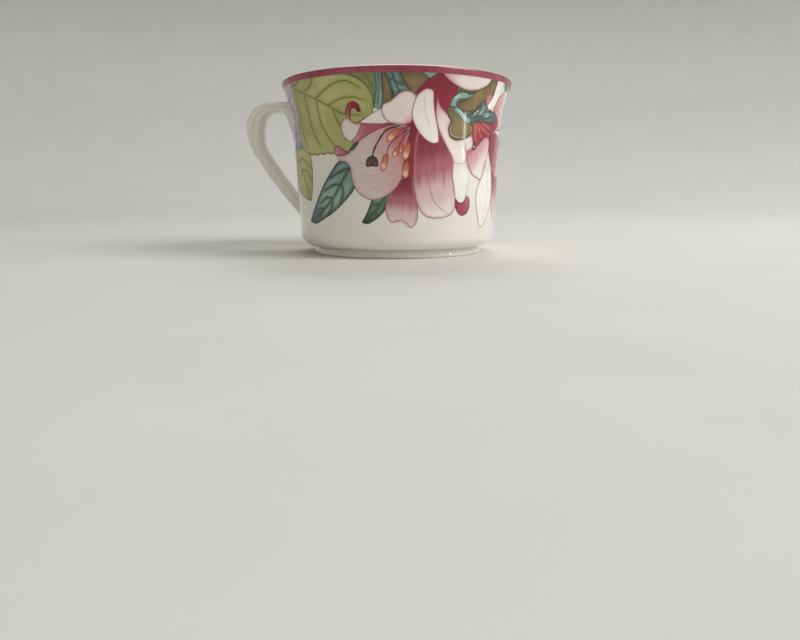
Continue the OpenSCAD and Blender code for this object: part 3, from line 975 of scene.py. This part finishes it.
    # oval, upright and long petals
    s.shape([(21.6, 45.2), (24.2, 49), (23.6, 53.4), (20, 54.8), (16, 54), (12, 51.8), (8.6, 50.8),
             (7.4, 48.8)],
            [(21.6, 45.2), (18, 44.6), (13, 44.9), (9.4, 46.2), (7.4, 48.8)], "lily_pale", 12)
    s.shape([(34.4, 53.2), (34, 49), (34.8, 45), (36.6, 42), (40, 38), (43, 34.9), (44.5, 32.6)],
            [(34.4, 53.2), (35.8, 50.5), (38.6, 48.8), (41.8, 46.6), (40.8, 43.6), (42, 40.9), (46, 39.8),
             (50.4, 40.2), (52.4, 36), (52.3, 32.6)], "lily_pale", 12)
    s.shape([(49.6, 40.6), (50.6, 38), (52, 36.1)],
            [(49.6, 40.6), (53, 41.5), (56, 41), (56.4, 38), (52, 36.1)], "lily_pale", 12, "rose_line",
            0.22)
    s.shape([(44.5, 32.6), (44.4, 28), (45.8, 23.5), (46.6, 20), (47.6, 18.4)],
            [(52.3, 32.6), (55, 29), (54.6, 25), (53.4, 21.6), (52.4, 18.6)], "lily_bright", 12,
            "faint_line", 0.24)
    s.line([(44.5, 32.7), (48, 32.2), (52.3, 32.7)], 0.24, "faint_line", 12)
    s.shape([(46.2, 20.8), (46.7, 18), (48.5, 15.8), (51.5, 14.8), (54.8, 15.8), (56.4, 18), (55.8, 20.5),
             (53.6, 21.5)],
            [(46.2, 20.8), (48.8, 19.2), (51, 19.2), (52.8, 20.2), (53.6, 21.5)], "magenta", 13,
            "red_line", 0.26)
    s.shape([(28.6, 55.6), (24.8, 53.7), (22.6, 50), (22.5, 46.5), (25, 42.8), (29, 39.9), (33, 38.7),
             (35.7, 39.2)],
            [(28.6, 55.6), (31.8, 55), (32.7, 51), (34, 46.5), (35.3, 42.5), (35.7, 39.2)], "lily_white", 13,
            "rose_line", 0.26, [[(28, 53.6), (28.6, 49), (31, 44)]], 0.16, "faint_line")
    # filaments, anthers, style and stigma
    for thread in ([(21, 44), (17.6, 43), (14.6, 41.6)], [(20.6, 43), (14, 40), (11, 37.4), (9.8, 34.6)],
                   [(21.6, 43), (18, 40.4), (15.6, 37.4)], [(22.4, 43.6), (20.4, 40), (19, 37)],
                   [(23.2, 43.4), (22, 38), (20.6, 32.6)]):
        s.line(thread, 0.3, "red_line", 13, (0.8, 0.5))
    s.line([(16.4, 44.2), (10, 42.8), (6, 39.4), (3.8, 36.6), (2.8, 34.4)], 0.55, "dark_line", 14,
           (0.5, 0.9))
    for base, tip, width in (((16.2, 43.4), (10.2, 39.2), 2.1), ((10.2, 35.6), (7.6, 29.6), 2.0),
                             ((16.2, 37.6), (13, 34.2), 1.7), ((20.8, 39), (18.6, 33.2), 2.1),
                             ((17.2, 38.6), (16.2, 35.4), 1.4), ((19.8, 33), (18.8, 27.2), 2.1)):
        anther(s, base, tip, width, 15)
    s.shape([(2.8, 34.8), (0.4, 33.8), (-0.5, 31.8), (0.6, 31.2), (2.6, 32.2)],
            [(2.8, 34.8), (5, 33.8), (5.7, 31.8), (4.6, 31.2), (2.6, 32.2)], "stigma", 15, "dark_line", 0.3)
    return s.piece()


def anther(sheet, base, tip, width, level):
    """A pollen-covered lily anther, like a grain of rice."""
    a, b = flat([base, tip])
    way = unit(b - a)
    side = np.array([-way[1], way[0]]) * width / 2
    swell = ((0.0, 0.0), (0.2, 0.8), (0.6, 1.0), (0.88, 0.7), (1.0, 0.0))
    left = [on_print(a + (b - a) * far + side * wide) for far, wide in swell]
    right = [on_print(a + (b - a) * far - side * wide) for far, wide in swell]
    sheet.shape(left, right, "anther", level, "anther_line", 0.22)


def draw_side_lily():
    s = Print("print_lily_side", "print_side_lily")
    # ground between the stems
    s.shape([(40.6, 48), (42, 53), (43, 58), (48, 58), (54, 57.6), (60, 58.4), (66, TOP)],
            [(40.6, 48), (46, 46.4), (54, 44.6), (60, 46), (66, 50), (70, 55), (70.4, TOP), (66, TOP)],
            "dark_ground", 2, None)
    s.shape([(45.4, 51.6), (49, 52.6), (53, 54.4), (57, 56.4), (61, 57.4), (64, 58.8), (66.6, TOP)],
            [(45.4, 51.6), (47, 49.8), (52, 49.3), (57, 50), (61, 52.6), (65, 54), (69, 56), (70.4, 58.6),
             (66.6, TOP)], "olive_brown", 3, "dark_line", 0.24)
    s.shape([(40, 50.4), (40.4, 47.6), (42.2, 45.8), (41, 43.4), (41.8, 41.2), (45, 40.1), (49, 40.1)],
            [(40, 50.4), (44, 50.4), (48, 48.6), (52, 46), (56, 44.8), (55.8, 42.4), (52, 40.8),
             (49, 40.1)], "olive_brown", 13, "dark_line", 0.32)
    s.line([(42.4, 44.8), (41.9, 42.6), (43.4, 41.4), (47, 40.9), (50.6, 41.2)], 0.13, "light_line", 13)
    # far petals
    s.shape([(74, 51.4), (78, 55.6), (86, 58.6), (94, 58), (101, 54)],
            [(72, 46.4), (80, 44.6), (88, 45), (95, 48), (101, 54)],
            "lily_side", 4, "rose_line", 0.28, [[(78, 49.4), (85, 50.2), (93, 52)]], 0.2, "faint_line")
    s.shape([(71.6, 47.2), (76, 49.4), (81, 49), (84, 46.8)], [(71.6, 42), (77, 43.4), (84, 46.8)],
            "crimson", 5, None)
    s.shape([(71, 43.4), (80, 43.6), (88, 41.8), (95, 38), (101, 31.6)],
            [(70.4, 38), (76, 31.6), (84, 28), (92, 28.2), (101, 31.6)], "lily_rose", 5, "rose_line", 0.28,
            [[(73, 40), (82, 37), (92, 34)], [(74, 41.6), (84, 40), (94, 36.6)]], 0.18, "vein_line")
    s.shape([(76, 33), (77, 26), (79, 19), (84, 14), (89, 12.4)],
            [(86, 31), (91.6, 26), (93.6, 19), (89, 12.4)], "lily_rose", 4, "rose_line", 0.26,
            [[(81, 28), (84, 21), (87, 15)]], 0.18, "vein_line")
    s.shape([(69.6, 33.8), (67.5, 29.5), (63.5, 25.5), (61.3, 21), (63, 16), (66.3, 10.2)],
            [(74.6, 33), (77.8, 27), (78.6, 21), (75, 15), (70.4, 11.4), (66.3, 10.2)], "lily_bright", 6,
            "rose_line", 0.24, [[(71, 31), (73, 24), (71.6, 17), (68, 12)]], 0.18, "faint_line")
    # throat with its rays
    s.shape([(58, 46.6), (65, 46.6), (74, 46.2)],
            [(54.8, 44.6), (56, 41.6), (57.4, 39), (60.6, 38.2), (64, 40.4), (69, 41.2), (73.4, 42.6),
             (74, 46.2)], "throat", 6, "red_line", 0.24)
    for ray in ([(57.6, 45.6), (58.6, 42.4), (59, 39.6)], [(61, 45.6), (66, 43.6), (71.6, 42.4)],
                [(59.6, 45.6), (62, 42.8), (63.6, 41)], [(63, 46.2), (68, 45.2), (73.4, 44.2)]):
        s.line(ray, 0.9, "ray_line", 6, (0.3, 0.15))
    s.shape([(52, 36.4), (53.5, 32.5), (57, 29), (61, 27.6), (64.6, 27.1), (66.2, 28.4)],
            [(60, 38), (63.5, 40), (67, 41.4), (70.8, 41), (71, 37.5), (69, 33.5), (66.6, 30.6),
             (66.2, 28.4)], "lily_side", 8)
    disc(s, (57.6, 38.1), 1.15, "stigma", 9, "dark_line")
    disc(s, (57.6, 38.0), 0.4, "lily_cream", 10)
    # curled stem and the ribbed sheath
    stem(s, [(53.6, 54.6), (50, 53.9), (46, 53.8), (43.6, 52.6), (43, 50.4)], 1.0, 2.5, "teal_stem", 7,
         "teal_line", 0.28)
    s.line([(51, 54.5), (46.4, 54.7), (43.2, 53)], 0.34, "light_line", 7)
    stem(s, [(44.2, 50), (47.6, 48.6), (51, 46.8), (54, 46.4)], 1.9, 2.1, "teal_stem", 14, "teal_line",
         0.28)
    s.line([(45.6, 49.8), (48.6, 48.7), (51, 47.6)], 0.34, "light_line", 14)
    s.shape([(52, 48.2), (56, 49.3), (60, 51.4), (62.6, 53.6), (64.8, 52.2), (68, 52), (71, 50.6),
             (76, 50.2), (80, 48.8)],
            [(53, 45.7), (58, 46.2), (66, 46.6), (74, 46.8), (80, 48.8)], "teal", 8, "dark_line", 0.28,
            [[(53, 47), (60, 48), (67, 48.4), (75, 49)], [(55, 48.2), (60, 49.8), (62.4, 52)],
             [(57, 47.4), (63, 49.6), (67, 51.4)], [(58, 46.8), (66, 47.8), (74, 48.4)],
             [(60, 48.4), (66, 50), (72, 50.2)]], 0.26)
    for glint in ([(56, 48.4), (60, 50.2)], [(60.6, 48.8), (64, 50.2)], [(65, 48.2), (70, 49)]):
        s.line(glint, 0.34, "light_line", 9, (0.2, 0.2))
    # white strap and its curl
    s.shape([(70, TOP), (70.4, 58), (70, 55.6), (68.6, 53.6), (66.2, 52.2)],
            [(77.6, TOP), (77.4, 57), (75, 52.8), (71, 50.9), (68, 51), (66.2, 52.2)], "lily_bright", 10)
    s.shape([(63.6, 55), (64.6, 53), (66.6, 52.3), (68.6, 53.6)],
            [(63.6, 55), (66, 55.7), (68.8, 55.4), (68.6, 53.6)], "dusty_pink", 11, "rose_line", 0.24)
    leaf(s, (77, 62), (103, 56), 7.4, 1.2, "teal", 3, "dark_line")
    leaf(s, (90, 30), (107, 14), 9.6, 1.5, "yellow_green", 2)
    leaf(s, (96, 46), (111, 31), 10.5, -1.0, "teal", 3, "dark_line")
    leaf(s, (94, 58), (113, 46), 11.0, -1.5, "yellow_green", 2)
    return s.piece()


# ---------------------------------------------------------------- the sprays round the back


def about(centre, turn, points):
    """Wall points from points in mm about a centre, turned by some degrees."""
    c, s = math.cos(math.radians(turn)), math.sin(math.radians(turn))
    return [(centre[0] + (x * c - y * s) / MM_PER_DEG, centre[1] + x * s + y * c) for x, y in points]


def disc(sheet, centre, radius, colour, level, line=None, width=0.2):
    rim = [(radius * math.cos(t), radius * math.sin(t)) for t in np.radians([180, 150, 120, 90, 60, 30, 0])]
    sheet.shape(about(centre, 0, rim), about(centre, 0, [(x, -y) for x, y in rim]), colour, level, line,
                width)


def leaf(sheet, base, tip, width, bend, colour, level, line="green_line", pairs=4, teeth=0.0):
    """A veined leaf from base to tip. Bend pushes its middle sideways, in mm."""
    a, b = flat([base, tip])
    side = unit(np.array([a[1] - b[1], b[0] - a[0]]))
    shares, spans = [0.0, 0.15, 0.4, 0.7, 0.9, 1.0], [0.0, 0.62, 1.0, 0.74, 0.3, 0.0]

    def at(far, across):
        push = across * np.interp(far, shares, spans) * width / 2 + bend * 4 * far * (1 - far)
        return on_print(a + (b - a) * far + side * push)

    left, right = ([at(f, sign) for f in shares] for sign in (1, -1))
    if teeth:
        left, right = toothed(left, teeth, 2.2, -1), toothed(right, teeth, 2.2)
    veins = [[at(f, 0) for f in (0, 0.35, 0.7, 0.97)]]
    for k in range(pairs):
        far = 0.1 + 0.66 * k / pairs
        for sign in (-1, 1):
            veins.append([at(far, 0), at(far + 0.1, sign * 0.5), at(far + 0.22, sign * 0.86)])
    sheet.shape(left, right, colour, level, line, 0.28, veins, 0.22)


def petal(sheet, centre, turn, length, width, colour, level, line="rose_line", notch=0.06, veins=3,
          sway=0.0):
    """A petal that grows out of a centre; sway leans its tip sideways, in mm."""
    w = width / 2
    outline = [(0.06, 0.16), (0.36, 0.72), (0.7, 1.0), (0.92, 0.74), (1.0, 0.3)]
    left = [(f * length, h * w + sway * f * f) for f, h in outline] + [(length * (1 - notch), sway)]
    right = [(f * length, -h * w + sway * f * f) for f, h in outline] + [(length * (1 - notch), sway)]
    ribs = []
    for k in range(veins):
        h = (k - (veins - 1) / 2) / max(1, veins - 1) * 1.1 * w
        ribs.append(about(centre, turn, [(0.2 * length, 0.2 * h), (0.55 * length, 0.75 * h + sway * 0.3),
                                         (0.84 * length, h + sway * 0.7)]))
    sheet.shape(about(centre, turn, left), about(centre, turn, right), colour, level, line, 0.26, ribs,
                0.16)


def wreath(sheet, heart, inner, outer, turns, level):
    """Leaves that stand out round a flower, of two greens by turns, and stay above the white foot."""
    kinds = (("yellow_green", "green_line"), ("teal", "dark_line"), ("olive_leaf", "green_line"))
    for k, turn in enumerate(turns):
        base, tip = about(heart, turn, [(inner, 0), (outer + (k * 5) % 3, 0)])
        tip = (tip[0], max(tip[1], 12.6 + k % 3))
        colour, line = kinds[k % 3]
        leaf(sheet, base, tip, 9.6, 1.4 * (-1) ** k, colour, level + k % 2, line, 5, 0.45 * (k % 3 == 0))


def draw_tulip_spray():
    s = Print("print_tulips", "print_tulip_spray")
    wreath(s, (130, 40), 8, 19, range(20, 360, 34), 0)
    leaf(s, (128, 31), (112, 61), 10.5, 1.6, "yellow_green", 1)
    leaf(s, (133, 31), (149, 61), 10.5, -1.6, "yellow_green", 1)
    leaf(s, (130, 30), (127, 12.5), 8.6, 0.8, "teal", 2, "dark_line")
    heart = (130.5, 28.5)
    for turn, length, width, sway, level in (
            (62, 27, 10.5, -2.4, 3), (118, 27, 10.5, 2.4, 3), (77, 30, 11, -1, 4), (104, 30, 11, 1, 4),
            (91, 31, 11.5, 0.4, 5), (70, 22, 10.5, -2.6, 6), (112, 23, 11, 2.6, 7)):
        petal(s, heart, turn, length, width, "tulip", level, "tulip_line", 0.05, 6, sway)
    petal(s, heart, 92, 17, 9.5, "tulip_dark", 8, "tulip_line", 0.04, 6, 0.6)
    for turn in (76, 88, 101):
        base, tip = about(heart, turn, [(12.5, 0), (17.5, 0)])
        anther(s, base, tip, 1.5, 9)
    stem(s, [(130.5, 29.4), (129.6, 26), (130.4, 22.6)], 2.4, 1.8, "teal_stem", 9, "teal_line", 0.26)
    return s.piece()


def draw_morning_glory():
    s = Print("print_glory", "print_morning_glory")
    wreath(s, (176, 39), 9, 21, range(8, 360, 32), 2)
    heart, radius = (176, 39.5), 14.2
    for k in range(5):
        turn = 90 + 72 * k
        edge = [(0.25, 34), (0.6, 35.5), (0.93, 36), (1.03, 26), (1.05, 12), (1.0, 0)]
        left = [(radius * far * math.cos(math.radians(t)), radius * far * math.sin(math.radians(t)))
                for far, t in edge]
        right = [(x, -y) for x, y in left]
        rib = about(heart, turn, [(0.16 * radius, 0), (0.6 * radius, 0.3), (0.97 * radius, 0)])
        near = [(0, 0.02)]
        s.shape(about(heart, turn, near + left), about(heart, turn, near + right), "glory_blue", 5,
                "blue_line", 0.2, [rib], 0.3)
    for k in range(5):
        petal(s, heart, 90 + 72 * k, radius * 0.86, 3.0, "glory_star", 6, None, 0.0, 0)
    disc(s, heart, 2.3, "glory_heart", 7, "faint_line")
    for turn in (30, 150, 270):
        base, tip = about(heart, turn, [(0.2, 0), (2.0, 0)])
        anther(s, base, tip, 0.9, 8)
    bud = (196, 41)
    petal(s, bud, 62, 10.5, 4.4, "glory_blue", 4, "blue_line", 0.0, 3, -0.6)
    petal(s, bud, 62, 4.2, 3.6, "teal_stem", 5, "teal_line", 0.0, 2)
    stem(s, [(190, 35), (193.5, 37), (196, 41)], 1.3, 1.0, "teal_stem", 3, "teal_line", 0.24)
    return s.piece()


def draw_wild_rose():
    s = Print("print_rose", "print_wild_rose")
    wreath(s, (221, 39), 9, 21.5, range(70, 325, 31), 0)
    hydrangea(s, cluster(236, 254, 27, 58.4, 8), 2, 9)
    heart = (223, 38.5)
    for k, turn in enumerate((18, 90, 162, 234, 306)):
        petal(s, heart, turn + 8, 14.6, 15.5, "wild_rose", 4 + k % 3, "rose_line", 0.1, 6, 0.6)
    disc(s, heart, 4.4, "pollen_ring", 8, "tulip_line", 0.2)
    for k in range(24):
        turn = 15 * k
        base, tip = about(heart, turn, [(3.6, 0), (5.1 + 0.5 * (k % 2), 0)])
        s.line([base, tip], 0.16, "anther_line", 9, (0.6, 0.6))
        disc(s, tip, 0.26, "anther", 9)
    for row in range(-3, 4):
        for column in range(-3, 4):
            x, y = 0.95 * (column + 0.5 * (row % 2)), 0.82 * row
            if math.hypot(x, y) < 3.1:
                disc(s, about(heart, 0, [(x, y)])[0], 0.38, "pollen", 10, "anther_line", 0.12)
    return s.piece()


draw_leaf_spray()
draw_front_lily()
draw_side_lily()
draw_tulip_spray()
draw_morning_glory()
draw_wild_rose()


# ---------------------------------------------------------------- camera, floor and light

CAMERA_TURN = 15.0
CAMERA_OUT = 0.261
CAMERA_UP = 0.0235
CAMERA_DOWN = 11.2
CAMERA_YAW = 0.24
CAMERA_ROLL = 0.18
CAMERA_LENS = 29.5


def build_camera():
    data = bpy.data.cameras.new("camera")
    data.lens = CAMERA_LENS
    data.sensor_width = 36
    data.clip_start = 0.01
    camera = bpy.data.objects.new("camera", data)
    bpy.context.scene.collection.objects.link(camera)
    turn = math.radians(CAMERA_TURN)
    camera.location = (CAMERA_OUT * math.sin(turn), -CAMERA_OUT * math.cos(turn), CAMERA_UP)
    camera.rotation_mode = "XYZ"
    camera.rotation_euler = (math.radians(90 - CAMERA_DOWN), math.radians(CAMERA_ROLL),
                             turn - math.radians(CAMERA_YAW))
    bpy.context.scene.camera = camera


def stage_material():
    """Matt paper: pale on the floor, with painted shade that darkens it up the backdrop, where less light
    falls.
    """
    n = Nodes("stage_paper_painted_shade", 0.85)
    place = n.place()
    grain = n.ramp(n.noise(place, 30.0, 5.0), [(0.3, (252, 252, 252)), (0.7, (255, 255, 255))])
    height = n.add("ShaderNodeSeparateXYZ", Vector=place).outputs["Z"]
    # Painted shade: the colour darkens with height up the backdrop, in place of the light falling off there.
    tone = n.ramp(n.maths("DIVIDE", height, 0.5), [(0.02, (232, 232, 228)), (0.35, (222, 222, 218)),
                                                   (1.0, (186, 184, 178))])
    n.put(n.shader.inputs["Base Color"], n.mix(1.0, tone, grain, "MULTIPLY"))
    return n.material


def build_stage():
    """A plain pale floor that curves up into a backdrop all round."""
    radius, rise = 0.45, 0.7
    outline = [(0.0001, 0.0), (0.1, 0.0), (0.3, 0.0), (radius, 0.0)]
    outline += arc((radius, rise), rise, -90, 0, 40)[1:]
    outline += [(radius + rise, rise + 1.0)]
    points, faces = revolved(outline, 96, closed=False)
    floor = smooth_object("stage", points, faces, stage_material())


# Name, turn from the front in degrees, distance out and up in metres, size, watts, colour
LIGHTS = [
    ("key", 84, 0.8, 0.66, (0.5, 0.5), 5.95, (0.99, 0.99, 1.0)),
    ("front_fill", 25, 1.0, 0.9, (0.8, 0.6), 1.8, (1.0, 0.98, 0.95)),
    ("slit", 89, 0.55, 0.052, (0.009, 0.05), 0.045, (1.0, 1.0, 1.0)),
    ("back", 190, 0.9, 1.0, (0.7, 0.5), 2.6, (0.97, 0.98, 1.0)),
    ("top", 184, 0.34, 0.62, (0.3, 0.16), 0.5, (1.0, 1.0, 1.0)),
]
LIGHT_AIM = Vector((0, 0, 0.03))
SKY_COLOUR = (1.0, 0.95, 0.89, 1)
SKY_STRENGTH = 0.235


def area_light(name, turn, out, up, size, power, colour):
    """A soft rectangular light that faces the cup."""
    data = bpy.data.lights.new(name, "AREA")
    data.shape = "RECTANGLE"
    data.size, data.size_y = size
    data.energy = power
    data.color = colour
    light = bpy.data.objects.new(name, data)
    bpy.context.scene.collection.objects.link(light)
    a = math.radians(turn)
    light.location = (out * math.sin(a), -out * math.cos(a), up)
    way = LIGHT_AIM - light.location
    light.rotation_euler = way.to_track_quat("-Z", "Y").to_euler()


def build_lights():
    world = bpy.data.worlds.new("world")
    bpy.context.scene.world = world
    world.use_nodes = True
    sky = world.node_tree.nodes["Background"]
    sky.inputs["Color"].default_value = SKY_COLOUR
    sky.inputs["Strength"].default_value = SKY_STRENGTH
    for light in LIGHTS:
        area_light(*light)


build_camera()
build_stage()
build_lights()
bpy.context.scene.view_settings.view_transform = "Standard"
